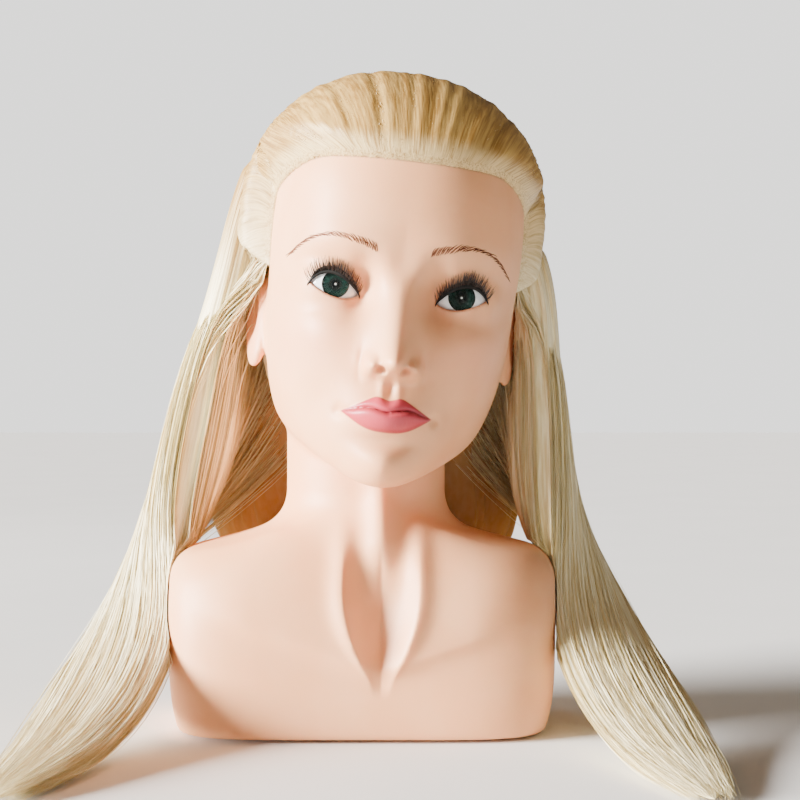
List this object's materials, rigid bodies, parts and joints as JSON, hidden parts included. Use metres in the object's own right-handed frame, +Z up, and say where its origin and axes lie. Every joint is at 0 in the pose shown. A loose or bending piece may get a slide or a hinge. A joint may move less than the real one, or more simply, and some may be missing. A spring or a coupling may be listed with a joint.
{
  "type": "mannequin training head",
  "caption": "Hairdressing training head with neck and shoulders: soft vinyl skin on a foam core, inset eyes, strip lashes, long straight rooted hair and a clamp socket underneath.",
  "frame": {"origin": "centre of the clamp socket's mouth in the underside, level with the surface the feet rest on", "axes": "+Z up, out of the top of the head; the face looks along -Y; +X is the figure's own left side"},
  "size_m": [0.3559, 0.2957, 0.3781],
  "materials": {
    "vinyl_skin": "satin",
    "scalp": "matte",
    "foam": "matte",
    "socket_plastic": "satin",
    "plate_plastic": "satin",
    "screw_steel": "satin",
    "anchor_plastic": "satin",
    "foot_rubber": "matte",
    "hair": "satin",
    "eye_white": "gloss",
    "iris": "gloss",
    "pupil": "gloss",
    "cornea": "gloss",
    "lash_band": "matte",
    "lash_hair": "satin"
  },
  "bodies": {
    "root": {"bust_skin": "vinyl_skin", "scalp_cap": "scalp", "foam_core": "foam", "socket_tube": "socket_plastic", "base_plate": "plate_plastic", "base_screws": "screw_steel", "socket_screws": "screw_steel", "screw_anchors": "anchor_plastic", "foot_pads": "foot_rubber", "hair_crown": "hair", "hair_nape": "hair", "hair_right": "hair", "hair_left": "hair", "hair_back": "hair", "right_eye_white": "eye_white", "right_iris": "iris", "right_pupil": "pupil", "right_cornea": "cornea", "right_lash_band": "lash_band", "right_lashes": "lash_hair", "left_eye_white": "eye_white", "left_iris": "iris", "left_pupil": "pupil", "left_cornea": "cornea", "left_lash_band": "lash_band", "left_lashes": "lash_hair"}
  },
  "joints": []
}
